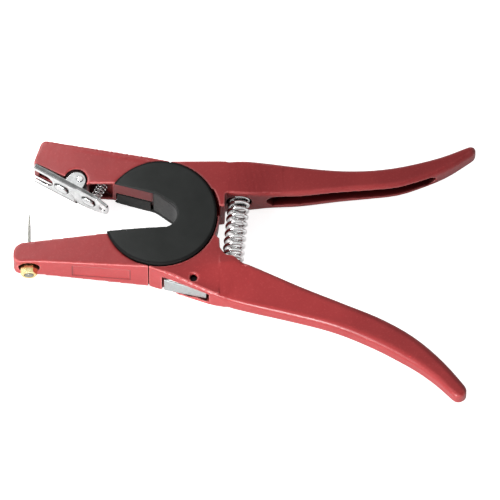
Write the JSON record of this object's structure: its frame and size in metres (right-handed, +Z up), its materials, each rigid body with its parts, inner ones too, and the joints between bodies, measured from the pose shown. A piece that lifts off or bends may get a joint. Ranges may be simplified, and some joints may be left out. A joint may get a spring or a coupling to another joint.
{
  "type": "ear tag applicator",
  "caption": "Hand plier for two-piece ear tags: crossing cast arms on a C-shaped hub, a sprung clip on one jaw, a needle on the other, and a coil spring between the handles.",
  "frame": {"origin": "on the back cover's flat resting face, 20 mm from the hub's centre line towards the handles", "axes": "+Z up along the hub's centre line, +X from the hub to the handles, +Y to the side of the clip jaw"},
  "size_m": [0.2484, 0.1493, 0.0284],
  "materials": {
    "red_paint": "satin",
    "black_plastic": "satin",
    "chrome": "gloss",
    "steel": "satin",
    "dark_steel": "satin",
    "brass": "gloss"
  },
  "bodies": {
    "clip_side": {"clip_arm": "red_paint", "front_cover": "black_plastic", "back_cover": "black_plastic", "hub_bush": "black_plastic", "cover_screw_1": "steel", "cover_screw_2": "steel", "cover_screw_3": "steel", "main_spring": "chrome", "clip_pin": "chrome", "clip_spring": "chrome", "latch_plate": "steel", "latch_pin": "dark_steel"},
    "needle_side": {"needle_arm": "red_paint", "needle": "steel", "needle_nut": "brass"},
    "clip": {"clip_plate": "chrome"}
  },
  "joints": [
    {"name": "squeeze", "type": "hinge", "parent": "clip_side", "child": "needle_side", "pos_m": [-0.02, 0, 0.0142], "axis": [0, 0, -1], "range_deg": [0, 26], "stiffness_Nm_per_rad": 2, "springref_deg": -2.86, "deforming": ["main_spring"]},
    {"name": "clip_swing", "type": "hinge", "parent": "clip_side", "child": "clip", "pos_m": [-0.063, 0.022, 0.0142], "axis": [0, 0, 1], "range_deg": [0, 8], "stiffness_Nm_per_rad": 0.1, "springref_deg": -2.86, "deforming": ["clip_spring"]}
  ]
}
